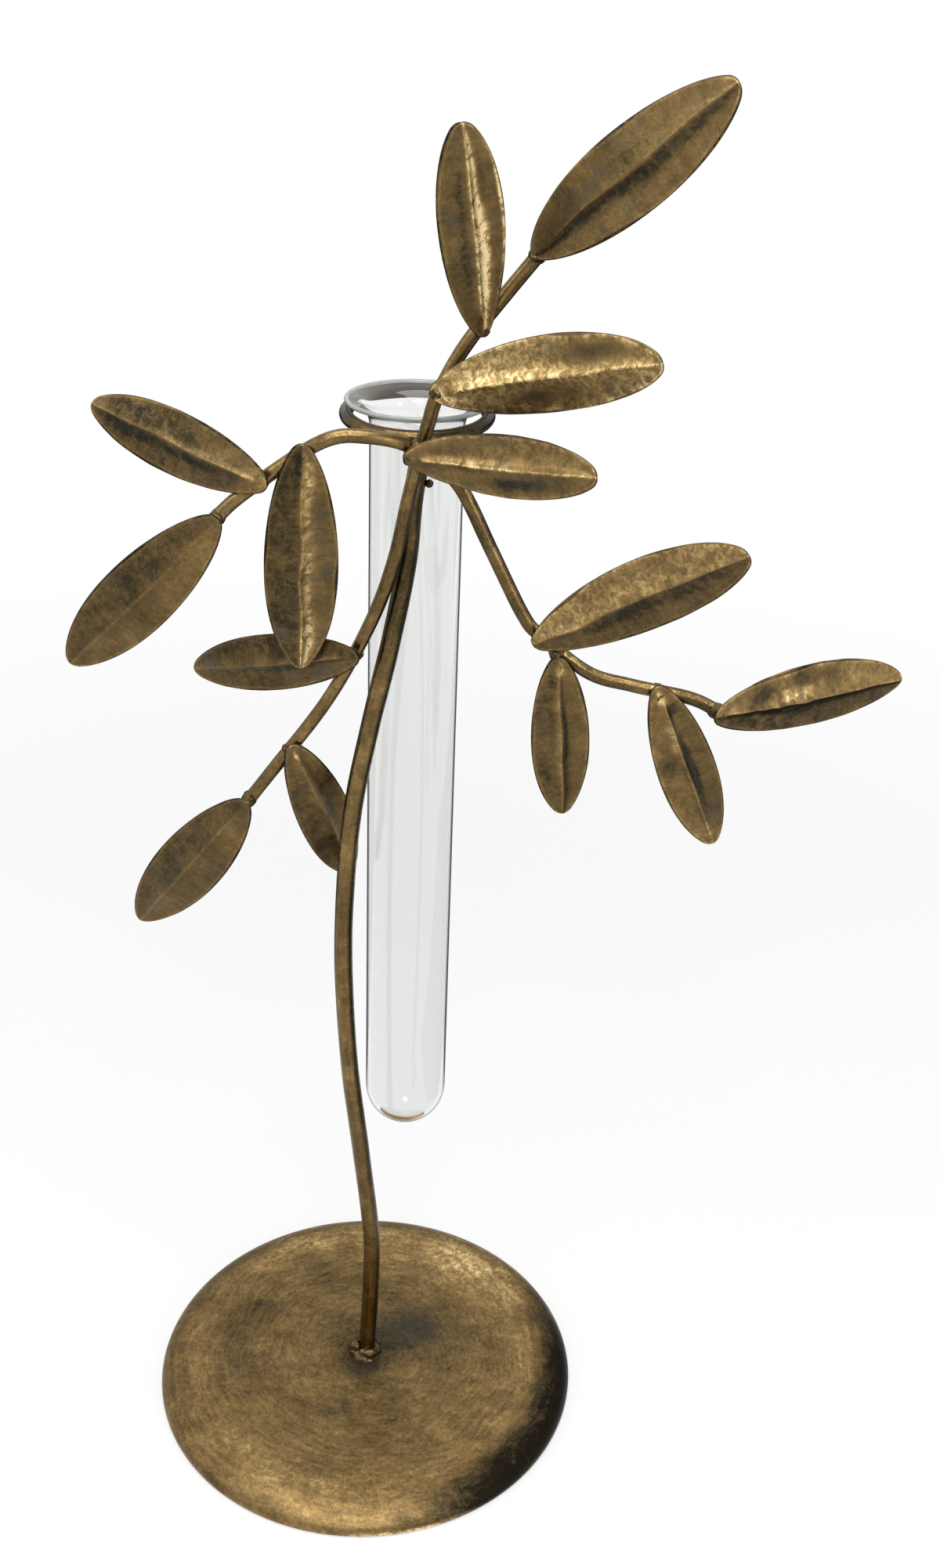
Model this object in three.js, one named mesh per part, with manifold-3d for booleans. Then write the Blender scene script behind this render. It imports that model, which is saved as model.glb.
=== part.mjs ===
// A leafy metal branch stand that carries one glass test tube in a wire ring.
// Millimetres, +Z up. The origin is the middle of the foot, on the surface that it stands on.
// The front of the stand faces -Y.

import * as THREE from 'three';
import { mergeVertices } from 'three/addons/utils/BufferGeometryUtils.js';
import Module from 'manifold-3d';

const wasm = await Module();
wasm.setup();

// Foot
const foot_diameter = 119;
const foot_height = 6.4;
const foot_crown = 0.6;
const foot_skirt = 1;
const shoulder_width = 11;
const sheet_thickness = 1.5;
const pad_thickness = 1;

// Rods and ring
const stem_diameter = 4.7;
const twig_diameter = 3.2;
const stem_height = 278;
const branch_gap = 0.9;
const branch_lean = 35;
const ring_play = 3.7;
const ring_aside = 1.8;
const ring_forward = 0.9;
const ring_tilt = 2.6;

// Glass tube
const tube_diameter = 22;
const tube_length = 205;
const tube_wall = 1.2;
const lip_overhang = 0.45;
const lip_bead = 1.1;
const lip_flare_height = 5.4;

// Leaves, stamped in two sizes
const large_leaf = { length: 56.3, width: 16.6, crease: 2.3 };
const small_leaf = { length: 47.5, width: 14, crease: 2 };
const leaf_thickness = 0.8;
const leaf_end_width = 2.6;
const outline_power = 0.56;
const outline_skew = 0.06;
const crease_sharpness = 0.35;

// Welds
const weld_margin = 1;
const weld_reach = 0.6;
const weld_smoothing = 0.08;
const foot_weld_radius = 5.2;
const foot_weld_height = 3.2;
const ring_weld_radius = 3.6;
const ring_weld_height = 2.6;
const ring_weld_aside = 1.4;
const junction_margin = 1.6;
const drip_diameter = 2;
const drip_sink = 0.3;
const drip_share = 0.9686;

// Gap between pieces that touch
const clearance = 0.3;

const stem_radius = stem_diameter / 2;
const twig_radius = twig_diameter / 2;
const tube_radius = tube_diameter / 2;
const degrees = Math.PI / 180;

// Materials
function finish(color, roughness, metalness, opacity = 1) {
  return new THREE.MeshStandardMaterial({ color, roughness, metalness, opacity, transparent: opacity < 1 });
}

const aged_brass = () => finish(0x6f5426, 0.5, 0.9);
const weld_brass = () => finish(0x7d6230, 0.4, 0.9);
const clear_glass = () => finish(0xe8eeec, 0.05, 0, 0.3);
const dark_felt = () => finish(0x2b2a28, 0.95, 0);

const vase = new THREE.Group();

function add(name, geometry, material) {
  const mesh = new THREE.Mesh(geometry, material);
  mesh.name = name;
  vase.add(mesh);
  return mesh;
}

// Solids for cutting: only merged positions are left in the geometry.
function solid(geometry) {
  const bare = new THREE.BufferGeometry();
  bare.setAttribute('position', geometry.getAttribute('position').clone());
  bare.setIndex(geometry.getIndex());
  const merged = mergeVertices(bare, 1e-4);
  return new wasm.Manifold(new wasm.Mesh({
    numProp: 3,
    vertProperties: new Float32Array(merged.getAttribute('position').array),
    triVerts: new Uint32Array(merged.getIndex().array),
  }));
}

// The largest piece that is left when the cutters are taken out of a blank.
function carve(blank, cutters) {
  let body = solid(blank);
  for (const cutter of cutters) {
    body = body.subtract(cutter);
  }
  const pieces = body.simplify(weld_smoothing).decompose();
  pieces.sort((a, b) => b.volume() - a.volume());
  const mesh = pieces[0].getMesh();
  const geometry = new THREE.BufferGeometry();
  geometry.setAttribute('position', new THREE.BufferAttribute(mesh.vertProperties, 3));
  geometry.setIndex(new THREE.BufferAttribute(mesh.triVerts, 1));
  return geometry;
}

// A profile of [radius, height] points turned round the vertical axis.
function turned(profile, segments) {
  const points = profile.map(([r, z]) => new THREE.Vector2(r, z));
  return new THREE.LatheGeometry(points, segments).rotateX(Math.PI / 2);
}

// Points of an arc of an ellipse from one angle to another, in degrees.
function arc(center_r, center_z, radius_r, radius_z, from, to, steps) {
  return Array.from({ length: steps + 1 }, (_, i) => {
    const angle = (from + (to - from) * i / steps) * degrees;
    return [center_r + radius_r * Math.cos(angle), center_z + radius_z * Math.sin(angle)];
  });
}

// Foot: a pressed dish with a gently crowned top, a round shoulder and a short upright skirt.
const foot_radius = foot_diameter / 2;
const shoulder_height = foot_height - foot_crown - foot_skirt;

function dish_side(inset) {
  const crown_edge = foot_radius - shoulder_width;
  const crown = [0, 0.5].map((share) => [crown_edge * share, foot_height - inset - foot_crown * share ** 2]);
  const shoulder = arc(crown_edge, foot_skirt, shoulder_width - inset, shoulder_height - inset, 90, 0, 5);
  return [...crown, ...shoulder, [foot_radius - inset, 0]];
}

const dish_profile = [...dish_side(0), ...dish_side(sheet_thickness).reverse()];
add('base_dish', turned(dish_profile.reverse(), 40), aged_brass());

const pad_radius = foot_radius - sheet_thickness - clearance;
const pad = new THREE.CylinderGeometry(pad_radius, pad_radius, pad_thickness, 40);
add('felt_pad', pad.rotateX(Math.PI / 2).translate(0, 0, pad_thickness / 2), dark_felt());

// Routes of the rods. The twigs lie in front of the stem, at least one lap from its axis,
// where they pass it. The two branches start beside the spray rod, at the junction.
const lap = stem_radius + twig_radius + clearance;
const branch_start = twig_radius + clearance + branch_gap;
const branch_aside = branch_start * Math.cos(branch_lean * degrees);
const branch_forward = branch_start * Math.sin(branch_lean * degrees);
const junction = new THREE.Vector3(10.9, 2.4 - lap, 278.4);

function route(points) {
  const stations = points.map(([x, y, z]) => new THREE.Vector3(x, y, z));
  return new THREE.CatmullRomCurve3(stations, false, 'catmullrom', 0.5);
}

const routes = {
  stem: route([
    [0, 0, foot_height + clearance],
    [1, 0, 31],
    [1, 0, 52],
    [-2, 0, 82],
    [-5, 0, 110],
    [-6.5, 0, 140],
    [-6, 0, 165],
    [-4, 0, 188],
    [0, 0, 210],
    [4.5, 0.5, 231],
    [8, 1.3, 251],
    [9.2, 2, 266],
    [11, 2.6, stem_height],
  ]),
  spray: route([
    [36, 2.3 - lap, 323],
    [20.8, 2.3 - lap, 303],
    [14.4, 2.4 - lap, 291],
    [12.4, 2.4 - lap, 284.5],
    [10.8, 2.4 - lap, 278],
    [8.2, 1.8 - lap, 267],
    [5.2, 1.1 - lap, 252.5],
    [-0.15, 2.4 - lap, 236.8],
    [-10.4, 4.9 - lap, 215.9],
    [-24.6, 4.7 - lap, 195.6],
    [-30.7, 4.7 - lap, 187],
  ]),
  upper_left: route([
    [junction.x - branch_aside, junction.y - branch_forward, junction.z + 1.4],
    [4.65, -1.6 - lap, 281.65],
    [-0.5, -3.5 - lap, 282.8],
    [-6.2, -4.1 - lap, 282.9],
    [-11.75, -4.3 - lap, 280.75],
    [-19.7, -4.3 - lap, 275.3],
    [-29.3, -4.3 - lap, 267.85],
    [-34.6, -4.3 - lap, 262.4],
  ]),
  right: route([
    [junction.x + branch_aside, junction.y - branch_forward, junction.z - 1.2],
    [20, -1.8 - lap, 271.5],
    [27.4, -1.8 - lap, 257],
    [34.8, -1.8 - lap, 242.5],
    [39, -1.8 - lap, 237.5],
    [50.5, -1.8 - lap, 228.7],
    [61, -1.8 - lap, 225.8],
    [75, -1.8 - lap, 223],
    [83, -1.8 - lap, 219],
  ]),
};

// A round rod along a route, with a step every few millimetres.
function rod(curve, radius, sides, step) {
  const section = new THREE.Shape(Array.from({ length: sides }, (_, i) => {
    const angle = 2 * Math.PI * i / sides;
    return new THREE.Vector2(radius * Math.cos(angle), radius * Math.sin(angle));
  }));
  const steps = Math.ceil(curve.getLength() / step);
  return new THREE.ExtrudeGeometry(section, { steps, bevelEnabled: false, extrudePath: curve });
}

const rods = [
  { name: 'main_stem', curve: routes.stem, radius: stem_radius, sides: 10, step: 6 },
  { name: 'spray_rod', curve: routes.spray, radius: twig_radius, sides: 8, step: 4 },
  { name: 'upper_left_branch', curve: routes.upper_left, radius: twig_radius, sides: 8, step: 3.5 },
  { name: 'right_branch', curve: routes.right, radius: twig_radius, sides: 8, step: 4 },
];
for (const { name, curve, radius, sides, step } of rods) {
  add(name, rod(curve, radius, sides, step), aged_brass());
}

const cap_axis = new THREE.Vector3(0, 1, 0);

// The space a rod needs: the rod itself, wider and longer by the clearance.
function rod_space({ curve, radius, sides, step }) {
  const wide = radius + clearance;
  let space = solid(rod(curve, wide, sides, step));
  for (const share of [0, 1]) {
    const cap = new THREE.CylinderGeometry(wide, wide, 2 * clearance, sides);
    const turn = new THREE.Quaternion().setFromUnitVectors(cap_axis, curve.getTangent(share));
    cap.applyQuaternion(turn).translate(...curve.getPoint(share));
    space = space.add(solid(cap));
  }
  return space;
}

const rod_cutters = rods.map(rod_space);

// Ring: a closed loop of twig wire. Its front lies on the stem's top and its back is a little higher.
const ring_radius = tube_radius + ring_play + twig_radius;
const ring_rise = ring_radius * Math.sin(ring_tilt * degrees);
const stem_tip = routes.stem.getPoint(1);
const tip_rise = stem_radius * Math.sin(Math.acos(routes.stem.getTangent(1).z));
const ring_center = new THREE.Vector3(
  stem_tip.x - ring_aside,
  stem_tip.y - ring_forward + ring_radius,
  stem_tip.z + tip_rise + clearance + twig_radius + ring_rise,
);

function ring(wire_radius) {
  const loop = new THREE.TorusGeometry(ring_radius, wire_radius, 8, 40);
  return loop.rotateX(ring_tilt * degrees).translate(ring_center.x, ring_center.y, ring_center.z);
}

add('tube_ring', ring(twig_radius), aged_brass());
const ring_cutter = solid(ring(twig_radius + clearance));

// Tube: a round-bottomed test tube whose flared lip hangs on the ring's back. Each flare point is a
// share of the flare's width and height.
const bead_radius = lip_bead / 2;
const bead_center = ring_radius + lip_overhang - bead_radius;
const bead_reach = twig_radius + bead_radius + clearance;
const bead_rise = Math.sqrt(bead_reach ** 2 - (ring_radius - bead_center) ** 2);
const bead_height = ring_center.z + ring_rise + bead_rise;
const tube_bottom = bead_height + bead_radius - tube_length;
const flare = bead_center - tube_radius;
const bore_radius = tube_radius - tube_wall;
const dome_height = tube_bottom + tube_radius;
const flare_foot = bead_height - lip_flare_height;

const tube_profile = [
  ...arc(0, dome_height, tube_radius, tube_radius, -90, 0, 6),
  [tube_radius, flare_foot],
  [tube_radius + 0.12 * flare, flare_foot + 0.4 * lip_flare_height],
  [tube_radius + 0.42 * flare, flare_foot + 0.68 * lip_flare_height],
  ...arc(bead_center, bead_height, bead_radius, bead_radius, -90, 120, 5),
  [tube_radius + 0.42 * flare - tube_wall, flare_foot + 0.85 * lip_flare_height],
  [tube_radius + 0.12 * flare - tube_wall, flare_foot + 0.45 * lip_flare_height],
  [bore_radius, flare_foot],
  ...arc(0, dome_height, bore_radius, bore_radius, 0, -90, 6),
];
const tube = turned(tube_profile, 24).translate(ring_center.x, ring_center.y, 0);
add('glass_tube', tube, clear_glass());

// Leaves. Each row: name, route, place along it, size, heading, pitch and roll in degrees,
// bow of the blade, twist in degrees, extra gap off the rod, and how far the base passes the rod.
const leaf_rows = [
  ['leaf_top_end', 'spray', 2, large_leaf, -33, 41, 97, 5, -23, 0.5, 0],
  ['leaf_top_left', 'spray', 21.5, small_leaf, -109, 68, -145, 1, -23, 0.8, 0.5],
  ['leaf_top_right', 'spray', 37.5, large_leaf, -31, 16, 100, -1, 5, 0.9, 1],
  ['leaf_middle', 'spray', 52, small_leaf, -31, 6, 95, 0.5, -9, 3.1, 1],
  ['leaf_left_hanging', 'upper_left', 25.7, large_leaf, 102, -81, -174, 2.9, -2, 0.5, 3.1],
  ['leaf_left_upper', 'upper_left', 36.5, small_leaf, 153, 13, -75, 1.5, 2, 1.4, 3.5],
  ['leaf_left_end', 'upper_left', 50, large_leaf, 164, -46, -100, 2.5, 2, 0.4, 1.5],
  ['leaf_low_upper', 'spray', 103.3, small_leaf, 155, -16, -89, 1.3, 8, 1.4, 2.9],
  ['leaf_low_inner', 'spray', 134.7, small_leaf, 49, -65, 105, 2.7, -2, 0.8, 3.5],
  ['leaf_low_end', 'spray', 151.2, large_leaf, 154, -52, -99, 1.7, -14, 0.8, 0.7],
  ['leaf_right_upper', 'right', 49, large_leaf, -24, 32.5, 98, -1, 3, 1.3, 1],
  ['leaf_right_inner', 'right', 53.4, small_leaf, 70, -75.5, 153, 1.5, -5, 1.5, 0],
  ['leaf_right_hanging', 'right', 80, small_leaf, 19, -67, 101, 2, -3, 1.1, 3],
  ['leaf_right_end', 'right', 94, large_leaf, 30, -1, 92, 0.5, -3, 1.8, 2.5],
];

// Share of the full width at a share of the length: a lens that is a little wider past its middle.
function outline(share) {
  const across = 2 * share - 1;
  const skewed = across - outline_skew * (1 - across * across);
  return Math.max(0, 1 - skewed * skewed) ** outline_power;
}

// How far the blade has dropped from the crease: steep beside the crease, then flatter.
function slope(across) {
  return (1 - Math.exp(-across / crease_sharpness)) / (1 - Math.exp(-1 / crease_sharpness));
}

// A thin plate with a raised crease, bowed along its length and twisted about it.
function blade(size, bow, twist, margin = 0) {
  const plate = new THREE.BoxGeometry(1, 2, leaf_thickness + 2 * margin, 10, 4, 1).translate(0.5, 0, 0);
  const position = plate.getAttribute('position');
  for (let i = 0; i < position.count; i += 1) {
    const share = (1 - Math.cos(Math.PI * position.getX(i))) / 2;
    const across = position.getY(i);
    const half = Math.max(outline(share) * size.width, leaf_end_width) / 2 + margin;
    const drop = size.crease * outline(share) * slope(Math.abs(across));
    const turn = twist * degrees * (share - 0.5);
    const y = across * half * Math.cos(turn) + drop * Math.sin(turn);
    const z = across * half * Math.sin(turn) - drop * Math.cos(turn) + bow * 4 * share * (1 - share);
    position.setXYZ(i, share * (size.length + 2 * margin) - margin, y, z + position.getZ(i));
  }
  return plate;
}

const leaves = leaf_rows.map(([name, path, at, size, heading, pitch, roll, bow, twist, gap, past]) => {
  const curve = routes[path];
  const turn = new THREE.Euler(roll * degrees, -pitch * degrees, heading * degrees, 'ZYX');
  const along = new THREE.Vector3(1, 0, 0).applyEuler(turn);
  const face = new THREE.Vector3(0, 0, 1).applyEuler(turn);
  const stand_off = twig_radius + clearance + leaf_thickness / 2 + gap;
  const seat = curve.getPointAt(at / curve.getLength());
  const place = seat.clone().addScaledVector(face, stand_off).addScaledVector(along, -past);
  const pose = new THREE.Matrix4().makeRotationFromEuler(turn).setPosition(place);
  const cutter = solid(blade(size, bow, twist, clearance).applyMatrix4(pose));
  const mesh = add(name, blade(size, bow, twist), aged_brass());
  mesh.position.copy(place);
  mesh.rotation.copy(turn);
  return { name, seat, face, turn, stand_off, cutter };
});
const leaf_cutters = leaves.map((leaf) => leaf.cutter);

// A weld bead: an egg of metal, long along its own z axis.
function egg(center, width, height, turn, margin = 0) {
  const shape = new THREE.SphereGeometry(1, 8, 6).rotateX(Math.PI / 2);
  shape.scale(width + margin, width + margin, height + margin);
  const pose = new THREE.Matrix4().makeRotationFromEuler(turn).setPosition(center);
  return shape.applyMatrix4(pose);
}

const upright = new THREE.Euler();

// Weld at the foot of the stem, flat underneath.
const top_plate = new THREE.BoxGeometry(foot_diameter, foot_diameter, foot_height);
const foot_plane = solid(top_plate.translate(0, 0, foot_height / 2 + clearance));
const foot_center = new THREE.Vector3(0, 0, foot_height);
const foot_egg = egg(foot_center, foot_weld_radius, foot_weld_height, upright);
add('foot_weld', carve(foot_egg, [foot_plane, rod_cutters[0]]), weld_brass());

// Weld between the stem's top, the ring and the spray rod.
const ring_weld_center = new THREE.Vector3(
  stem_tip.x + ring_weld_aside,
  stem_tip.y - stem_radius,
  ring_center.z - ring_rise - twig_radius,
);
const ring_weld_size = [ring_weld_radius, ring_weld_height, upright];
const ring_egg = egg(ring_weld_center, ...ring_weld_size);
add('ring_weld', carve(ring_egg, [...rod_cutters, ring_cutter, ...leaf_cutters]), weld_brass());
const ring_weld_cutter = solid(egg(ring_weld_center, ...ring_weld_size, clearance));

// One bead behind each leaf. The bead of the middle leaf also joins the branches to the spray rod.
const bead_cutters = [ring_weld_cutter];
for (const { name, seat, face, turn, stand_off } of leaves) {
  const joins_branches = name === 'leaf_middle';
  const width = twig_radius + weld_margin + (joins_branches ? junction_margin : 0);
  const back = -twig_radius - weld_margin;
  const front = stand_off + weld_reach;
  const height = (front - back) / 2;
  const center = seat.clone().addScaledVector(face, (front + back) / 2);
  const cutters = [...rod_cutters, ring_cutter, ...leaf_cutters, ...bead_cutters];
  const bead_name = joins_branches ? 'junction_weld' : name.replace('leaf', 'weld');
  add(bead_name, carve(egg(center, width, height, turn), cutters), weld_brass());
  bead_cutters.push(solid(egg(center, width, height, turn, clearance)));
}

// A drip of weld metal that froze on the side of the stem.
const drip_center = routes.stem.getPointAt(drip_share);
drip_center.x += stem_radius + drip_diameter / 2 - drip_sink;
const drip_egg = egg(drip_center, drip_diameter / 2, drip_diameter / 2, upright);
add('weld_drip', carve(drip_egg, rod_cutters), weld_brass());

export default vase;
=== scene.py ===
# %% [markdown]
# # A leafy metal stand with one glass tube
# The object is a small flower vase: a round pressed foot, a bent rod that carries thin twigs with
# stamped leaves, a wire ring, and a glass test tube that hangs in the ring by its lip. All the metal
# has one aged brass finish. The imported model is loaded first, because its bodies and sizes are the
# frame that every piece below has to fit.

import math
from collections import namedtuple

import bmesh
import bpy
import numpy as np
from mathutils import Euler, Matrix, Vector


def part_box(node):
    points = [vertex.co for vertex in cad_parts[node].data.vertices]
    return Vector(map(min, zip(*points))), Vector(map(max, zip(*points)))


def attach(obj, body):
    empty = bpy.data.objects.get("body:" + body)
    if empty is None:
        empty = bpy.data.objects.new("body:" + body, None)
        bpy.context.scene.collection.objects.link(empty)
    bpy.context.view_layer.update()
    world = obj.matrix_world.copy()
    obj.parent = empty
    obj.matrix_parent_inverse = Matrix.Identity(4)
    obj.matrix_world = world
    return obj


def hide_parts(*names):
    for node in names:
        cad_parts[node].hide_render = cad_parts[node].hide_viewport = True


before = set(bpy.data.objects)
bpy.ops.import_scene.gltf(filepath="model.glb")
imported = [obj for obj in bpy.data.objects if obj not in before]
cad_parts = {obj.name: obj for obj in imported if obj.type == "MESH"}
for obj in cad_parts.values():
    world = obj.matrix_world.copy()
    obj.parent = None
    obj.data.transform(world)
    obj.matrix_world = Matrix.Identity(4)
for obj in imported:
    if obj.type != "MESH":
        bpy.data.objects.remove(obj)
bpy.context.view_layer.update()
scene = bpy.context.scene

# %% [markdown]
# ## Camera
# A camera can be placed by eye or worked out. Here it was worked out: the round foot, the straight
# tube and its round lip fix where the lens stood, how far it looked down and how much it was tilted,
# and the outline of the whole stand then settled the focal length. An unturned camera looks straight
# down. The rotation rolls it by the tilt, and then lifts its view to the right angle below the horizon.

# %% Camera
PICTURE_HEIGHT, FOCAL_PIXELS, SENSOR = 2002, 2200.0, 36.0
LOOK_DOWN, TILT = 0.48588, 0.0364
EYE = (0.024269, -0.369339, 0.390413)

lens = bpy.data.cameras.new("photo_camera")
lens.sensor_fit, lens.sensor_height = "VERTICAL", SENSOR
lens.lens = FOCAL_PIXELS * SENSOR / PICTURE_HEIGHT
camera = bpy.data.objects.new("photo_camera", lens)
scene.collection.objects.link(camera)
aim = Euler((math.pi / 2 - LOOK_DOWN, 0, TILT), "ZYX")
camera.matrix_world = Matrix.LocRotScale(EYE, aim, None)
scene.camera = camera
print("lens", round(lens.lens, 2), "mm, looking down", round(math.degrees(LOOK_DOWN), 1), "degrees")

# %% [markdown]
# ## Curves that every piece uses
# Metal that was bent, brushed and rubbed by hand is uneven. Blender has noise textures for that, but a
# few plain curves can also move the points themselves. A smooth step starts or ends something softly,
# a bell curve puts a stain in its place, and a sum of cosines with a fixed seed gives a hand-made
# ripple that is the same in every run.

# %% Curves
def blend(low, high, x):
    """0 below low, 1 above high, and a smooth S-curve between them."""
    share = np.clip((np.asarray(x, float) - low) / (high - low), 0, 1)
    return share * share * (3 - 2 * share)


def hill(x, middle, width):
    """A bell curve: 1 at the middle, falling to a third one width away."""
    return np.exp(-(((x - middle) / width) ** 2))


def spots(rows, x, y):
    """Bell curves on a plane, one for each row: the middle's x and y, two spreads and a strength."""
    at_x, at_y, wide, deep, strength = np.array(rows, float).T[:, :, None, None]
    return strength * hill(x, at_x, wide) * hill(y, at_y, deep)


def ripple(where, size, seed, waves=9):
    """Unevenness from about -1 to 1: a sum of cosines in random directions, about size apart."""
    dice = np.random.default_rng(seed)
    turns = dice.normal(size=(waves, 3)) * (3.6 / size)
    starts = dice.uniform(0, 2 * np.pi, waves)
    return np.cos(where @ turns.T + starts).sum(-1) / waves ** 0.5


def unit(vectors):
    """Each vector divided by its length."""
    return vectors / np.linalg.norm(vectors, axis=-1, keepdims=True)


def full_turn(count):
    """Evenly spaced angles round a full turn."""
    return np.linspace(0, 2 * np.pi, count, endpoint=False)


print("one width down a hill", round(hill(1, 0, 1), 2))

# %% [markdown]
# ## From a grid of points to a mesh
# Every piece here is a closed skin: loops of points, one loop per row. Blender's own tools could lathe
# and sweep such skins one by one. Working the points out as numpy arrays keeps each shape a formula,
# and one helper makes any grid a mesh. Rows that shrink to a point become poles when doubles are
# merged. The finish finds its values on the points: tone makes the metal darker or lighter, by its
# patina and in some places by painted shade and light, wear says where the patina is rubbed off and
# also carries a few painted highlights, and grey where it is dull oxide. The skin attribute holds
# surface coordinates in millimetres, so that a pattern follows a bent piece, and lay is the same drawn
# out along the brush.

# %% Meshes
MM, MERGE = 0.001, 2e-7


def make_piece(name, grid, skin, lay, tone=0.0, wear=0.0, grey=0.0, ring=False):
    """A mesh object from a grid of loops in millimetres, with the finish's values on its points. Each
    loop's last point joins its first, and with ring the last row joins the first as well."""
    rows, loop = grid.shape[:2]
    here = np.arange(rows * loop).reshape(rows, loop)
    corners = [np.roll(here, shift, (0, 1)) for shift in ((0, 0), (0, -1), (-1, -1), (-1, 0))]
    faces = np.stack(corners, -1)[:rows if ring else rows - 1].reshape(-1, 4)
    mesh = bpy.data.meshes.new(name)
    mesh.from_pydata((grid * MM).reshape(-1, 3).tolist(), [], faces.tolist(), shade_flat=False)
    for label, value in (("skin", skin), ("lay", lay)):
        spread = mesh.attributes.new(label, "FLOAT_VECTOR", "POINT")
        spread.data.foreach_set("vector", value.astype(np.float32).ravel())
    for label, value in (("tone", tone), ("wear", wear), ("grey", grey)):
        full = np.broadcast_to(value, (rows, loop)).astype(np.float32)
        mesh.attributes.new(label, "FLOAT", "POINT").data.foreach_set("value", full.ravel())
    shell = bmesh.new()
    shell.from_mesh(mesh)
    bmesh.ops.remove_doubles(shell, verts=shell.verts, dist=MERGE)
    bmesh.ops.recalc_face_normals(shell, faces=shell.faces)
    shell.to_mesh(mesh)
    shell.free()
    piece = bpy.data.objects.new(name, mesh)
    scene.collection.objects.link(piece)
    return piece


def seat(piece, body, slot, *nodes):
    """Lets a piece ride on its body and hides the nodes that it stands for. The slot, a finish's name, is
    not used. Prints how far its box stands out of the first node's box, in millimetres."""
    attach(piece, body)
    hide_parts(*nodes)
    corners, (low, high) = np.array(piece.bound_box), np.array(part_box(nodes[0]))
    off = max((low - corners).max(), (corners - high).max()) / MM
    print(f"{piece.name}: {len(piece.data.polygons)} faces, outside its node by {off:.2f} mm")
    return piece


# %% [markdown]
# ## Foot
# The foot is one disc of sheet metal, pressed into a shallow dish: a nearly flat crown, a round
# shoulder and a short upright skirt. The Screw modifier could turn its profile. Here a formula does,
# so that a little unevenness can be added to the crown alone.

# %% Foot shape
FOOT_RADIUS, FOOT_HEIGHT, CROWN_EDGE, CROWN_DROP = 59.5, 6.4, 48.5, 0.6
SKIRT, SHOULDER, SHEET, RIM, CROWN_SINK = 1.0, 4.8, 1.5, 0.5, 0.16
CROWN_ROWS, SHOULDER_ROWS, INNER_ROWS = 50, 30, 12


def dish_side(inset, crown_rows, shoulder_rows):
    """Half a section from the middle out: a parabola for the crown, then a quarter of an ellipse."""
    r = CROWN_EDGE * np.linspace(0, 1, crown_rows)
    crown = np.column_stack([r, FOOT_HEIGHT - inset - CROWN_DROP * (r / CROWN_EDGE) ** 2])
    angle = np.linspace(np.pi / 2, 0, shoulder_rows)[1:]
    reach = FOOT_RADIUS - CROWN_EDGE - inset
    out = CROWN_EDGE + reach * np.cos(angle)
    return np.vstack([crown, np.column_stack([out, SKIRT + (SHOULDER - inset) * np.sin(angle)])])


def turned(profile, loop, middle=(0.0, 0.0)):
    """A profile of radius and height turned round an upright axis, as on a lathe."""
    angle = full_turn(loop)
    r, z = profile[:, :1], profile[:, 1:]
    return np.stack([middle[0] + r * np.cos(angle), middle[1] + r * np.sin(angle), z + 0 * angle], -1)


def foot_surface(loop=240):
    """The outer side, a rounded lower rim and the inner side, turned, with a rippled crown."""
    angle = np.linspace(0, np.pi, 9)
    rim_r = FOOT_RADIUS - SHEET / 2 + SHEET / 2 * np.cos(angle)
    rim = np.column_stack([rim_r, RIM - RIM * np.sin(angle)])
    outer = dish_side(0, CROWN_ROWS, SHOULDER_ROWS)
    profile = np.vstack([outer, rim, dish_side(SHEET, INNER_ROWS, INNER_ROWS)[::-1]])
    points = turned(profile, loop)
    top = (np.arange(len(profile)) < len(outer))[:, None]
    crown = 1 - blend(CROWN_EDGE, FOOT_RADIUS - 1, profile[:, :1])
    uneven = 0.10 * ripple(points, 26, 3) + 0.05 * ripple(points, 9, 4) - CROWN_SINK
    points[..., 2] += top * crown * uneven
    return points


foot_points = foot_surface()
print("foot: loops, and points in each", foot_points.shape[:2])

# %% [markdown]
# The patina of the foot was brushed round the middle, and is darker in a stain beside the stem. The
# foot is also darker round the weld and lighter in a ring where the crown ends. The dark band on the
# shoulder at the right is painted shade, and the small sparks in it are painted glints. Bare metal shows
# where the lower rim rubs on the table. One could paint all this on the mesh by hand. Curves of the
# radius, the turn and the place do the same, and can be read.

# %% Foot patina and painted shade
FOOT_STAINS = [
    (11.5, 9.5, 11, 7.5, -0.264), (-31, 15, 9, 5, -0.144), (-14, 30, 12, 6, -0.108),
    (12, 27, 7, 7, -0.096), (4, -55, 3, 3, -0.12), (22, 6, 14, 9, -0.06), (28, 38, 22, 16, 0.10)]
FOOT_OXIDE = [(11.5, 9.5, 11, 7.5, 0.9), (-1, -7, 5, 4, 0.6)]
STROKE_ROUND = 6.4


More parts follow.
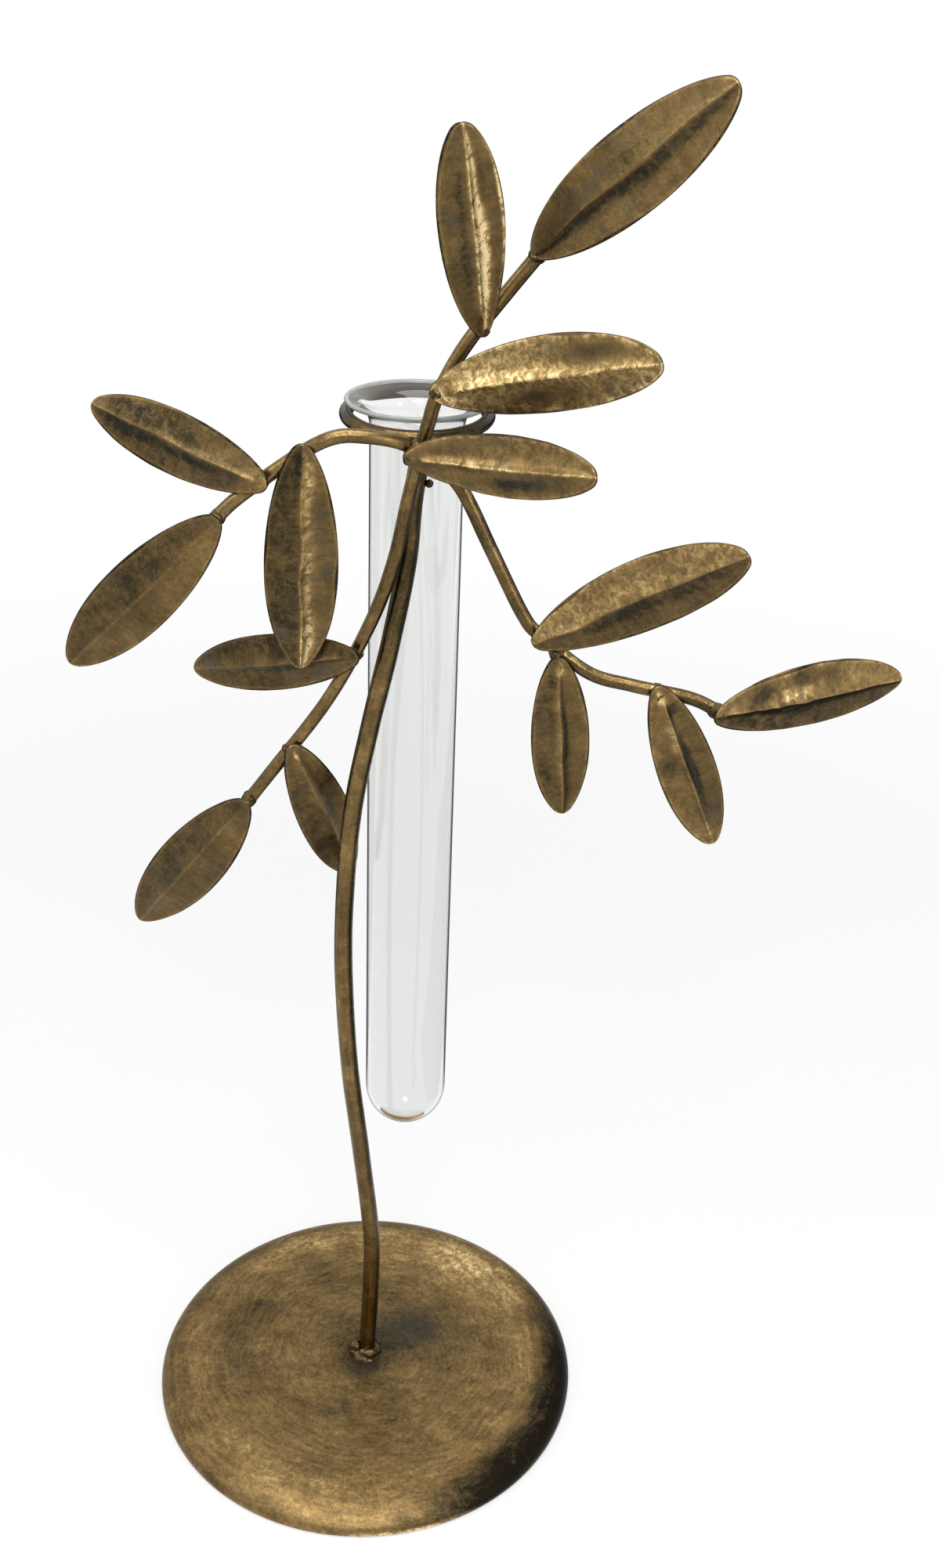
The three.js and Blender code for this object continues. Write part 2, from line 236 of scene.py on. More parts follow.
def foot_patina_and_shade(points):
    """Lay, tone, wear and grey of the foot: sums of steps and bell curves of the radius, of the turn in
    degrees and of the place. A step of the turn paints shade on the shoulder at the right, and glints in
    that shade. The lay is drawn out round the middle."""
    x, y, z = np.moveaxis(points, -1, 0)
    r, turn = np.hypot(x, y), np.degrees(np.arctan2(y, x))
    right_side = blend(-88, -42, turn) * (1 - blend(-5, 45, turn))
    # painted shade: the dark band on the shoulder at the right
    tone = -0.58 * right_side * blend(45.5, 57, r) + spots(FOOT_STAINS, x, y).sum(0)
    tone += 0.12 * hill(r, 50, 6) - 0.16 * hill(r, 5, 5) - 0.05 * (1 - blend(20, 44, r))
    tone -= 0.04 * hill(y, -48, 12) + 0.09 * blend(25, 45, -x)
    tone += 0.035 * ripple(points, 15, 8) + 0.03 * ripple(points, 6, 9)
    wear = hill(z, 0.7, 0.8) * (r > FOOT_RADIUS - 1) * (0.25 + 2.0 * hill(turn, -72, 14))
    wear += 0.5 * hill(x, 30, 18) * hill(y, 34, 14) * np.clip(ripple(points, 5, 7), 0, 1)
    # painted glints: small bright sparks in that painted shade
    wear += 2.0 * right_side * hill(r, 57, 2) * np.clip(ripple(points, 3, 10) - 1.1, 0, 0.8)
    round_middle = STROKE_ROUND / np.maximum(r, 1)
    across = 0.9 * r + 1.2 * ripple(points, 34, 6)
    lay = np.stack([x * round_middle, y * round_middle, across], -1)
    return lay, tone, wear, spots(FOOT_OXIDE, x, y).sum(0)


foot = make_piece("foot_dish", foot_points, foot_points, *foot_patina_and_shade(foot_points))
seat(foot, "stand", "aged_brass", "base_dish")

# %% [markdown]
# ## Rods
# The stem and the three twigs are drawn rods, bent by hand. A curve with a bevel would give the tube,
# but no say over its skin. Here a circle is carried along a smooth path through a few points, the same
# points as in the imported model, and its radius wavers a little, as on forged wire.

# %% Paths of the rods
STEM, TWIG, CLEAR = 2.35, 1.6, 0.3
LAP = STEM + TWIG + CLEAR
BRANCH, BRANCH_LEAN = TWIG + CLEAR + 0.9, math.radians(35)
ASIDE, FORWARD = BRANCH * math.cos(BRANCH_LEAN), BRANCH * math.sin(BRANCH_LEAN)
JOINT = (10.9, 2.4, 278.4)


def path(rows, ahead=0.0):
    """Stations of a path in millimetres, brought forward by the given distance."""
    return np.array(rows, float) - [0, ahead, 0]


PATHS = {
    "stem": path([
        [0, 0, 6.7], [1, 0, 31], [1, 0, 52], [-2, 0, 82], [-5, 0, 110], [-6.5, 0, 140], [-6, 0, 165],
        [-4, 0, 188], [0, 0, 210], [4.5, 0.5, 231], [8, 1.3, 251], [9.2, 2, 266], [11, 2.6, 278]]),
    "spray": path([
        [36, 2.3, 323], [20.8, 2.3, 303], [14.4, 2.4, 291], [12.4, 2.4, 284.5], [10.8, 2.4, 278],
        [8.2, 1.8, 267], [5.2, 1.1, 252.5], [-0.15, 2.4, 236.8], [-10.4, 4.9, 215.9],
        [-24.6, 4.7, 195.6], [-30.7, 4.7, 187]], LAP),
    "upper_left": path([
        [JOINT[0] - ASIDE, JOINT[1] - FORWARD, JOINT[2] + 1.4], [4.65, -1.6, 281.65],
        [-0.5, -3.5, 282.8], [-6.2, -4.1, 282.9], [-11.75, -4.3, 280.75], [-19.7, -4.3, 275.3],
        [-29.3, -4.3, 267.85], [-34.6, -4.3, 262.4]], LAP),
    "right": path([
        [JOINT[0] + ASIDE, JOINT[1] - FORWARD, JOINT[2] - 1.2], [20, -1.8, 271.5],
        [27.4, -1.8, 257], [34.8, -1.8, 242.5], [39, -1.8, 237.5], [50.5, -1.8, 228.7],
        [61, -1.8, 225.8], [75, -1.8, 223], [83, -1.8, 219]], LAP),
}


def walk(stations, step=0.7, fine=60):
    """Even steps along a smooth path. Between two stations the path is a cubic whose direction at each
    station is half the way from the station before to the one after."""
    before, after = 2 * stations[0] - stations[1], 2 * stations[-1] - stations[-2]
    p = np.vstack([before, stations, after])
    t = np.linspace(0, 1, fine)[None, :, None]
    start, end = p[1:-2, None], p[2:-1, None]
    leave, arrive = (p[2:-1, None] - p[:-3, None]) / 2, (p[3:, None] - p[1:-2, None]) / 2
    dense = (2 * t ** 3 - 3 * t ** 2 + 1) * start + (t ** 3 - 2 * t ** 2 + t) * leave
    dense = (dense + (3 * t ** 2 - 2 * t ** 3) * end + (t ** 3 - t ** 2) * arrive).reshape(-1, 3)
    run = np.concatenate([[0], np.cumsum(np.linalg.norm(np.diff(dense, axis=0), axis=1))])
    even = np.linspace(0, run[-1], int(run[-1] / step) + 1)
    return even, np.column_stack([np.interp(even, run, dense[:, k]) for k in range(3)])


print("mm of rod", {label: round(walk(stations)[0][-1]) for label, stations in PATHS.items()})

# %% [markdown]
# The rods have painted shade underneath and on their right side. The stem has a painted shadow near
# its top, where the spray rod runs in front of it, and is darker near its foot as well. The right
# branch has one painted highlight, a bright streak along its upper front. The direction in which each
# point faces, its ray from the rod's middle, is enough to place all of that.

# %% Rod skins
RODS = [("main_stem", "stem", STEM, 11), ("spray_rod", "spray", TWIG, 12),
        ("upper_left_branch", "upper_left", TWIG, 13), ("right_branch", "right", TWIG, 14)]
ROD_BRUSH, ROD_APART = [0.12, 0.9, 0.9], 37.0
ROD_THINNER, ROD_UNEVEN = 0.012, 0.010
HIGHLIGHT_FACING = unit(np.array([0.42, -0.66, 0.62]))


def rod_surface(stations, radius, seed, loop=26):
    """A circle carried along a path, square to it. At both ends it shrinks as a quarter round. Gives
    the points, skin coordinates that start elsewhere for each rod, and the rays."""
    run, middle = walk(stations)
    tangent = unit(np.gradient(middle, axis=0))
    side = unit(np.cross(tangent, [0.0, 1.0, 0.0]))
    over = np.cross(side, tangent)
    end = np.minimum(run, run[-1] - run)
    rounding = np.sqrt(1 - (1 - np.clip(end / (0.5 * radius), 0, 1)) ** 2)
    cos, sin = np.cos(full_turn(loop)), np.sin(full_turn(loop))
    ray = cos[:, None] * side[:, None] + sin[:, None] * over[:, None]
    uneven = 1 - ROD_THINNER + ROD_UNEVEN * ripple(middle[:, None] + radius * ray, 14, seed)
    points = middle[:, None] + (radius * rounding[:, None] * uneven)[..., None] * ray
    skin = np.stack(np.broadcast_arrays(run[:, None], radius * cos, radius * sin), -1)
    return points, skin + ROD_APART * seed, ray


def rod_patina_and_shade(label, points, ray, seed):
    """Tone and wear of a rod: steps of the ray's directions paint shade underneath and on the right, and
    a highlight on the right branch; bell curves of the height darken the stem, with a painted shadow
    near its top; ripples vary the metal.
    """
    height = points[..., 2]
    # painted shade on the underside of each rod
    tone = 0.04 * ripple(points, 30, seed) - 0.10 * blend(-0.1, 0.9, -ray[..., 2])
    # painted shade on the right side of each rod
    tone -= 0.20 * blend(0.35, 0.9, ray[..., 0])
    wear = 0.25 * np.clip(ripple(points, 7, seed + 5), 0, 1)
    if label == "stem":
        # painted shadow of the spray rod on the stem near its top, and darker near the foot
        tone -= 0.18 * hill(height, 250, 22) + 0.08 * hill(height, 20, 18)
    if label == "right":
        # painted highlight: a bright streak along the upper front of the right branch
        tone, wear = tone - 0.10, wear + 1.1 * blend(0.88, 0.99, ray @ HIGHLIGHT_FACING)
    return tone, wear


metal_pieces = [foot]
for node, label, radius, seed in RODS:
    points, skin, ray = rod_surface(PATHS[label], radius, seed)
    patina_and_light = rod_patina_and_shade(label, points, ray, seed)
    rod = make_piece("rod_" + label, points, skin, skin * ROD_BRUSH, *patina_and_light)
    metal_pieces.append(seat(rod, "stand", "aged_brass", node))

# %% [markdown]
# ## Ring
# The ring is a loop of the same wire, closed with a weld, and its front, over the stem, is a little
# lower. Blender has a torus of its own. This one is written as a hoop, a small circle carried round a
# large one, because the wire is uneven like the rods and the tube's lip is a hoop as well.

# %% Ring
RING_RADIUS, RING_TILT, RING_BRUSH = 16.3, math.radians(2.6), [0.3, 0.3, 0.9]
RING = (np.array(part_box("tube_ring")) / MM).mean(0)


def hoop_surface(middle, radius, thickness, lean, rows=160, loop=26):
    """A small circle carried round a large one, which leans forward about the x axis by an angle.
    Gives the points and the small circle's outward directions."""
    turn = full_turn(rows)[:, None]
    bend = full_turn(loop)[None, :, None]
    cos, sin = math.cos(lean), math.sin(lean)
    outward = np.stack([np.cos(turn), np.sin(turn) * cos, np.sin(turn) * sin], -1)
    ray = np.cos(bend) * outward + np.sin(bend) * np.array([0, -sin, cos])
    return middle + radius * outward + thickness * ray, ray


ring_points, wire = hoop_surface(RING, RING_RADIUS, TWIG, RING_TILT)
ring_points -= 0.03 * wire * (1 + ripple(ring_points, 9, 21))[..., None]
# painted shade: the ring is darker all round and darker still on its right, as it lies in shadow; the
# ripple is uneven tone
ring_shade_and_tone = -0.16 + 0.06 * ripple(ring_points, 12, 22)
ring_shade_and_tone -= 0.14 * blend(-4, 14, ring_points[..., 0] - RING[0])
ring_lay = ring_points * RING_BRUSH
ring = make_piece("wire_ring", ring_points, ring_points, ring_lay, ring_shade_and_tone, 0.1, ring=True)
metal_pieces.append(seat(ring, "stand", "aged_brass", "tube_ring"))

# %% [markdown]
# ## Leaves
# Fourteen leaves are stamped from thin sheet in two sizes. Each has a raised rib with steep sides, a
# rubbed crest and edge, and its base is hammered flat for the weld. A flat plane with a curve modifier
# could be bent to shape, but one formula gives all of them: rows along the leaf, and in each row a loop
# round the thin section. Every leaf has its own bow, twist and place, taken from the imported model.

# %% Leaf table
Stamp = namedtuple("Stamp", "length width crease")
Leaf = namedtuple("Leaf", "rod at stamp heading pitch roll bow twist gap past")
LARGE, SMALL = Stamp(56.3, 16.6, 2.3), Stamp(47.5, 14.0, 2.0)
LEAVES = {
    "top_end": Leaf("spray", 2, LARGE, -33, 41, 97, 5, -23, 0.5, 0),
    "top_left": Leaf("spray", 21.5, SMALL, -109, 68, -145, 1, -23, 0.8, 0.5),
    "top_right": Leaf("spray", 37.5, LARGE, -31, 16, 100, -1, 5, 0.9, 1),
    "middle": Leaf("spray", 52, SMALL, -31, 6, 95, 0.5, -9, 3.1, 1),
    "left_hanging": Leaf("upper_left", 25.7, LARGE, 102, -81, -174, 2.9, -2, 0.5, 3.1),
    "left_upper": Leaf("upper_left", 36.5, SMALL, 153, 13, -75, 1.5, 2, 1.4, 3.5),
    "left_end": Leaf("upper_left", 50, LARGE, 164, -46, -100, 2.5, 2, 0.4, 1.5),
    "low_upper": Leaf("spray", 103.3, SMALL, 155, -16, -89, 1.3, 8, 1.4, 2.9),
    "low_inner": Leaf("spray", 134.7, SMALL, 49, -65, 105, 2.7, -2, 0.8, 3.5),
    "low_end": Leaf("spray", 151.2, LARGE, 154, -52, -99, 1.7, -14, 0.8, 0.7),
    "right_upper": Leaf("right", 49, LARGE, -24, 32.5, 98, -1, 3, 1.3, 1),
    "right_inner": Leaf("right", 53.4, SMALL, 70, -75.5, 153, 1.5, -5, 1.5, 0),
    "right_hanging": Leaf("right", 80, SMALL, 19, -67, 101, 2, -3, 1.1, 3),
    "right_end": Leaf("right", 94, LARGE, 30, -1, 92, 0.5, -3, 1.8, 2.5),
}
print(len(LEAVES), "leaves")

# %% [markdown]
# No two leaves are alike. For each one the table below gives how steep the rib is on its two sides, the
# tone of its two halves, how bright its crest is rubbed, how far its base is hammered flat, and a few
# marks: the share of the length, the share of the half width, their spreads, and how much lighter or
# darker the mark is. The tones of the halves are partly patina and partly painted light and shade, for
# the half that faced the light and the half that turned from it. Some marks are painted light too: the
# brightest, such as the band beside the crest of the top left leaf and the light tip of the top end
# leaf's crest, are painted highlights, and dark bands just beside some ribs, as below the crest of the
# top end leaf, are painted shade; the others are stains. The darkest marks are dents as well. The
# right-hand leaves are crumpled near their bases, the outer one by far the most.

# %% Rib, patina and painted light of each leaf
PatinaAndLight = namedtuple("PatinaAndLight", "steep_plus steep_minus plus minus crest tab stains")
PATINA_AND_LIGHT = {
    # top_end: its first mark, below the crest, is painted shade, and its last, at the crest's tip, a
    # painted highlight
    "top_end": PatinaAndLight(0.9, 0.16, -0.08, -0.06, 0.25, 0.3, [
        (0.5, -0.2, 0.7, 0.16, -0.27), (0.4, -0.65, 0.25, 0.25, 0.07), (0.55, 0.35, 0.15, 0.2, -0.06),
        (0.93, 0.12, 0.07, 0.14, 0.2)]),
    # top_left: its first mark, the bright band beside the crest, is a painted highlight
    "top_left": PatinaAndLight(0.45, 0.26, -0.11, -0.06, 0.9, 0.5, [
        (0.36, -0.25, 0.34, 0.26, 0.6), (0.8, -0.14, 0.2, 0.12, 0.34), (0.72, -0.4, 0.14, 0.14, -0.22),
        (0.45, -0.5, 0.12, 0.12, -0.1), (0.42, 0.33, 0.2, 0.12, -0.14), (0.7, 0.3, 0.1, 0.1, -0.1),
        (0.62, -0.93, 0.3, 0.06, 0.4)]),
    "top_right": PatinaAndLight(0.3, 0.6, 0.19, 0.20, 0.6, 1.0, [
        (0.33, 0.15, 0.2, 0.15, 0.16), (0.2, 0.4, 0.15, 0.3, 0.06), (0.74, 0.5, 0.16, 0.3, -0.36),
        (0.45, -0.5, 0.16, 0.22, -0.22), (0.72, -0.5, 0.2, 0.3, -0.08), (0.1, -0.3, 0.08, 0.4, 0.12)]),
    "middle": PatinaAndLight(0.22, 0.5, 0.05, -0.03, 0.8, 0.6, [
        (0.57, -0.5, 0.14, 0.2, -0.36), (0.22, 0.45, 0.12, 0.25, -0.12), (0.36, 0.1, 0.2, 0.1, 0.18),
        (0.3, -0.35, 0.12, 0.2, 0.08)]),
    "left_hanging": PatinaAndLight(0.3, 0.8, -0.09, -0.20, 0.6, 1.0, [
        (0.9, 0.25, 0.13, 0.32, 0.36), (0.5, 0.18, 0.5, 0.2, 0.27), (0.09, -0.12, 0.04, 0.3, -0.25),
        (0.12, 0.4, 0.09, 0.3, 0.22)]),
    "left_upper": PatinaAndLight(0.3, 0.3, -0.16, -0.17, 0.35, 0.4, [
        (0.74, -0.45, 0.15, 0.25, -0.22), (0.48, -0.4, 0.08, 0.2, -0.14), (0.55, 0.25, 0.3, 0.13, -0.2),
        (0.82, 0.3, 0.14, 0.25, -0.24), (0.03, 0.0, 0.1, 0.9, 0.25), (0.25, -0.6, 0.2, 0.3, 0.08),
        (0.95, 0.0, 0.05, 0.9, 0.12)]),
    "left_end": PatinaAndLight(0.5, 0.5, -0.05, -0.15, 0.3, 0.2, [
        (0.55, 0.3, 0.2, 0.3, -0.06), (0.15, 0.5, 0.1, 0.4, 0.08), (0.3, -0.5, 0.2, 0.3, -0.05)]),
    "low_upper": PatinaAndLight(0.25, 0.4, -0.13, -0.17, 0.4, 0.2, [
        (0.5, -0.8, 0.3, 0.2, -0.1), (0.75, -0.3, 0.15, 0.2, 0.06), (0.5, 0.2, 0.3, 0.1, -0.12),
        (0.35, -0.1, 0.25, 0.08, 0.1)]),
    "low_inner": PatinaAndLight(0.25, 0.5, -0.06, -0.16, 0.5, 0.6, [
        (0.4, 0.3, 0.2, 0.15, -0.16), (0.1, 0.0, 0.08, 0.6, 0.10), (0.06, -0.05, 0.02, 0.14, 0.26),
        (0.85, -0.4, 0.15, 0.5, 0.08)]),
    "low_end": PatinaAndLight(0.5, 0.5, -0.08, -0.13, 0.35, 0.2, [
        (0.6, -0.5, 0.2, 0.3, -0.06), (0.2, 0.4, 0.1, 0.3, 0.06)]),
    "right_upper": PatinaAndLight(0.5, 0.3, 0.13, -0.13, 0.3, 0.3, [
        (0.42, -0.28, 0.14, 0.2, -0.22), (0.75, -0.3, 0.12, 0.25, -0.12), (0.6, 0.75, 0.1, 0.2, -0.08),
        (0.2, 0.3, 0.12, 0.3, 0.05)]),
    "right_inner": PatinaAndLight(0.2, 0.25, -0.05, -0.13, 0.5, 0.8, [
        (0.5, 0.15, 0.3, 0.08, -0.3), (0.7, -0.6, 0.1, 0.2, -0.12), (0.45, -0.1, 0.4, 0.1, 0.16),
        (0.06, 0.1, 0.04, 0.4, 0.32), (0.13, -0.3, 0.04, 0.3, -0.18)]),
    "right_hanging": PatinaAndLight(0.15, 0.3, -0.10, -0.02, 0.6, 1.0, [
        (0.52, 0.17, 0.16, 0.13, -0.6), (0.93, 0.0, 0.06, 0.9, 0.14), (0.45, -0.5, 0.06, 0.4, -0.16),
        (0.3, -0.1, 0.1, 0.12, 0.16), (0.06, -0.1, 0.04, 0.4, 0.34), (0.13, 0.3, 0.04, 0.3, -0.2)]),
    "right_end": PatinaAndLight(0.35, 0.18, 0.05, -0.17, 0.5, 0.3, [
        (0.26, 0.45, 0.06, 0.35, -0.4), (0.36, -0.14, 0.1, 0.14, -0.6), (0.38, 0.22, 0.12, 0.18, 0.22),
        (0.6, 0.6, 0.06, 0.3, -0.2), (0.7, -0.1, 0.2, 0.08, -0.16), (0.44, 0.62, 0.05, 0.25, -0.26),
        (0.18, 0.2, 0.05, 0.25, -0.22), (0.33, 0.7, 0.05, 0.15, 0.2)]),
}
CRUMPLED = {"right_end": 0.26, "right_upper": 0.05, "right_inner": 0.08, "right_hanging": 0.08}
print(sum(len(patina_and_light.stains) for patina_and_light in PATINA_AND_LIGHT.values()), "stains,", len(CRUMPLED), "leaves crumpled")

# %% Leaf surface
LEAF_THICKNESS, BLUNT = 0.8, 1.3
OUTLINE_POWER, OUTLINE_SKEW = 0.56, 0.06
DENT_DEPTH, DENT_FROM = 0.9, 0.22
CREST_SOFT, TAB_DEPTH, TAB_SHARP, CREASES = 0.03, 0.8, 6, 40


def lens_outline(share):
    """Share of the full width at a share of the length: a lens, a little wider past its middle."""
    across = 2 * share - 1
    skewed = across - OUTLINE_SKEW * (1 - across ** 2)
    return np.clip(1 - skewed ** 2, 0, 1) ** OUTLINE_POWER


def leaf_section(half_loop=46):
    """Places round the thin section: across runs from one edge to the other and back, closer together
    at the crest and at the edges, and side is +1 on the front and -1 on the back."""
    u = np.linspace(-1, 1, half_loop)
    across = np.sign(u) * (np.abs(u) - 0.11 * np.sin(2 * np.pi * np.abs(u)))
    loop = np.concatenate([across, across[::-1][1:-1]])
    return loop, np.concatenate([np.ones(half_loop), -np.ones(half_loop - 2)])


def leaf_surface(name, seed, rows=120):
    """Height falls from the crest as 1 - exp(-distance / steepness), with its own steepness on each
    side. The base is pressed down to a tab, the leaf bows and twists along its length, its ends are
    blunt, and the sheet's edge is a half round. The darkest marks, stains and painted shade alike, are
    pressed in as dents."""
    leaf, patina_and_light = LEAVES[name], PATINA_AND_LIGHT[name]
    length, width, crease = leaf.stamp
    share = ((1 - np.cos(np.pi * np.linspace(0, 1, rows))) / 2)[:, None]
    across, side = leaf_section()
    out = lens_outline(share)
    end = np.clip(length * np.minimum(share, 1 - share) / BLUNT, 0, 1)
    half = np.hypot(out * width / 2, BLUNT * np.sqrt(1 - (1 - end) ** 2) * (1 - blend(0, 1, out)))
    flat = np.stack([share * length + 0 * across, across * half, 0 * share + 0 * across], -1)
    wander = 0.035 * ripple(flat * [1, 0, 0], 14, seed + 2)
    away = np.sqrt((across - wander) ** 2 + CREST_SOFT ** 2) - CREST_SOFT
    steep = np.where(across > wander, patina_and_light.steep_plus, patina_and_light.steep_minus)
    drop = crease * out * (1 - np.exp(-away / steep)) / (1 - np.exp(-1 / steep))
    pressed = TAB_DEPTH * patina_and_light.tab * (1 - blend(0.06, 0.13, share))
    drop = np.log(np.exp(TAB_SHARP * drop) + np.exp(TAB_SHARP * pressed) - 1) / TAB_SHARP
    dents = np.minimum(spots(patina_and_light.stains, share, across) + DENT_FROM, 0)
    drop -= DENT_DEPTH * dents.sum(0)
    thick = LEAF_THICKNESS / 2 * np.minimum(1, half / 0.9) ** 0.5
    edge = np.clip((np.abs(across) * half - (half - thick)) / np.maximum(thick, 1e-9), 0, 1)
    lift = side * thick * np.sqrt(1 - edge ** 2)
    turn = np.radians(leaf.twist) * (share - 0.5)
    uneven = 0.10 * ripple(flat, 9, seed) * out + 0.03 * ripple(flat, 3.2, seed + 1) * out
    folds = ripple(flat, 4.2, seed + 1, CREASES) * out * (1 - across ** 2) * hill(share, 0.3, 0.22)
    uneven += CRUMPLED.get(name, 0) * folds
    y = across * half * np.cos(turn) + drop * np.sin(turn)
    z = across * half * np.sin(turn) - drop * np.cos(turn) + leaf.bow * 4 * share * (1 - share) + uneven
    points = np.stack([flat[..., 0], y, z + lift], -1)
    return points, flat, share, across - wander, half, side


print("a leaf's section has", len(leaf_section()[0]), "points")

# %% [markdown]
# A leaf is first made lying flat, and then carried to its rod. Its patina and painted light are worked
# out on the flat leaf too: where a point lies along and across the blade decides what colour it has.

# %% Leaf places, patina and painted light
LEAF_BRUSH, LEAF_APART = [0.9, 0.16, 0.9], 61.0
LEAF_SEED, SEEDS_EACH, FOLD_SEED = 40, 3, 7


def leaf_frame(name):
    """The point on the rod, the leaf's directions, turned by roll, then pitch, then heading, how far it
    stands off along its own face, and where it starts."""
    leaf = LEAVES[name]
    axes = np.array(Euler(np.radians([leaf.roll, -leaf.pitch, leaf.heading])).to_matrix())
    run, middle = walk(PATHS[leaf.rod])
    rod = np.array([np.interp(leaf.at, run, middle[:, k]) for k in range(3)])
    off = TWIG + CLEAR + LEAF_THICKNESS / 2 + leaf.gap
    return rod, axes, off, rod + axes[:, 2] * off - axes[:, 0] * leaf.past


def leaf_patina_and_light(name, number, flat, share, across, half, side):
    """Tone, wear and grey: the halves differ by patina and by painted light and shade, marks lie on top
    and are dull where they are dark, a painted shade darkens the sheet's edge, and the crest, the edges
    and the brightest marks are rubbed, which brightens the painted highlights among them further."""
    patina_and_light = PATINA_AND_LIGHT[name]
    mark = spots(patina_and_light.stains, share, across).sum(0)
    inset = (1 - np.abs(across)) * half
    # the halves' tones are partly patina and partly painted light and shade
    tone = patina_and_light.minus + (patina_and_light.plus - patina_and_light.minus) * blend(-0.08, 0.08, across) + mark
    # painted shade: a thin dark line along the sheet's rounded edge
    tone -= 0.30 * hill(inset, 0, 0.26)
    folds = ripple(flat, 3.0, FOLD_SEED + number, CREASES) * hill(share, 0.32, 0.22)
    tone += 0.35 * CRUMPLED.get(name, 0) * folds
    rim = hill(inset, 0.55, 0.30)
    ridge = hill(across * half, 0, 0.35) * blend(0.05, 0.16, share)
    # bright marks count as rubbed, so the painted highlights among them get bare gold too
    front = patina_and_light.crest * ridge + 2.2 * np.clip(mark - 0.13, 0, 0.4)
    front += (0.40 + 0.5 * blend(0.93, 1.0, share)) * rim
    wear = np.clip(np.where(side > 0, front, 0.35 * rim), 0, 1)
    return tone, wear, 1.6 * np.clip(-mark - 0.06, 0, 0.4)


for number, name in enumerate(LEAVES):
    flat_leaf, flat, *places = leaf_surface(name, LEAF_SEED + SEEDS_EACH * number)
    back_face = (places[-1] < 0)[:, None]
    _, axes, _, base = leaf_frame(name)
    skin = flat + np.array([0, 0, LEAF_THICKNESS]) * back_face + LEAF_APART * (number + 1)
    patina_and_light = leaf_patina_and_light(name, number, flat, *places)
    points = flat_leaf @ axes.T + base
    leaf = make_piece("leaf_blade_" + name, points, skin, skin * LEAF_BRUSH, *patina_and_light)
    metal_pieces.append(seat(leaf, "stand", "aged_brass", "leaf_" + name))

# %% [markdown]
# ## Welds
# Small beads of filler hold the pieces together: one behind every leaf, three lumps at the foot of the
# stem, one bead under the ring, and one drip that ran down the stem. A metaball could melt them into
# the rods. An egg with a rippled skin that sinks into its neighbours looks the same and stays one clean
# closed surface.

# %% Weld beads
WELD_MARGIN, WELD_REACH, WELD_WIDER, JUNCTION_WIDER = 1.0, 0.6, 0.5, 1.2
BEAD_SEED, BEAD_TONE, BEAD_WEAR, BEAD_LUMPS, BEAD_APART = 90, -0.24, 0.15, 0.12, 11.0


def bead_surface(middle, axes, radii, seed, lumps, rows=26, loop=36):
    """An egg: a sphere stretched by three radii along three directions, with a rippled skin."""
    down = np.linspace(0, np.pi, rows)
    ball = turned(np.column_stack([np.sin(down), np.cos(down)]), loop)
    swell = 1 - lumps + lumps * (0.6 * ripple(ball, 1.3, seed) + 0.4 * ripple(ball, 0.6, seed + 1))
    return middle + (ball * swell[..., None] * np.array(radii)) @ np.array(axes).T


def add_bead(name, node, middle, axes, radii, seed, tone, wear, lumps):
    """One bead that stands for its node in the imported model."""
    points = bead_surface(np.array(middle), axes, radii, seed, lumps)
    bead = make_piece(name, points, points + BEAD_APART * seed, points, tone, wear)
    return seat(bead, "stand", "weld_brass", node)


for number, name in enumerate(LEAVES):
    rod, axes, off, _ = leaf_frame(name)
    joins = name == "middle"
    back, front = -TWIG - WELD_MARGIN, off + WELD_REACH
    wide = TWIG + WELD_WIDER + (JUNCTION_WIDER if joins else 0)
    node = "junction_weld" if joins else "weld_" + name
    middle = rod + axes[:, 2] * (front + back) / 2
    radii = (wide, wide, (front - back) / 2)
    look = (BEAD_SEED + number, BEAD_TONE, BEAD_WEAR, BEAD_LUMPS)
    metal_pieces.append(add_bead("bead_" + name, node, middle, axes, radii, *look))

# %% Welds on the stem
RING_BEAD_ASIDE, DRIP, DRIP_SINK, DRIP_SHARE = 1.4, 1.0, 0.3, 0.9686
_, stem_line = walk(PATHS["stem"])
tip = stem_line[-1]
ring_front = RING[2] - RING_RADIUS * math.sin(RING_TILT)
under_ring = [tip[0] + RING_BEAD_ASIDE, tip[1] - STEM, ring_front - TWIG]
on_stem = stem_line[round(DRIP_SHARE * (len(stem_line) - 1))] + [STEM + DRIP - DRIP_SINK, 0, 0]
STEM_WELDS = [
    ("bead_foot", "foot_weld", [0, 0, 6.4], (4.6, 4.6, 2.4), 120, -0.30, 0.1, 0.25),
    ("bead_foot_front", "foot_weld", [0.2, -2.5, 6.6], (3.9, 2.8, 3.3), 123, -0.20, 0.15, 0.16),
    ("bead_foot_left", "foot_weld", [-3.3, -0.7, 7.2], (2.1, 2.0, 3.7), 124, -0.22, 0.12, 0.16),
    ("bead_ring", "ring_weld", under_ring, (3.6, 3.6, 2.6), 121, 0.1, 0.5, BEAD_LUMPS),
    ("bead_drip", "weld_drip", on_stem, (DRIP, DRIP, DRIP), 122, -0.3, 0.1, 0.04),
]
for name, node, middle, radii, *look in STEM_WELDS:
    metal_pieces.append(add_bead(name, node, middle, np.eye(3), radii, *look))

# %% [markdown]
# ## Glass tube
# A test tube is drawn glass with a round bottom and a lip that is flared and melted to a bead. Its
# wall has two skins, because light bends at both. Solidify would give a plain pipe such a wall, but the
# flare is thinner, so the profile goes up the outside, over the flare and down the inside to a second
# pole. The bead at the lip is a hoop of its own, because it has a pale, half clear finish that paints
# the bright reflection on its flat top. Here the tone value only marks the outer skin, where the finish
# below paints a dark edge. The tube hangs loose, so both pieces ride on a body of their own.

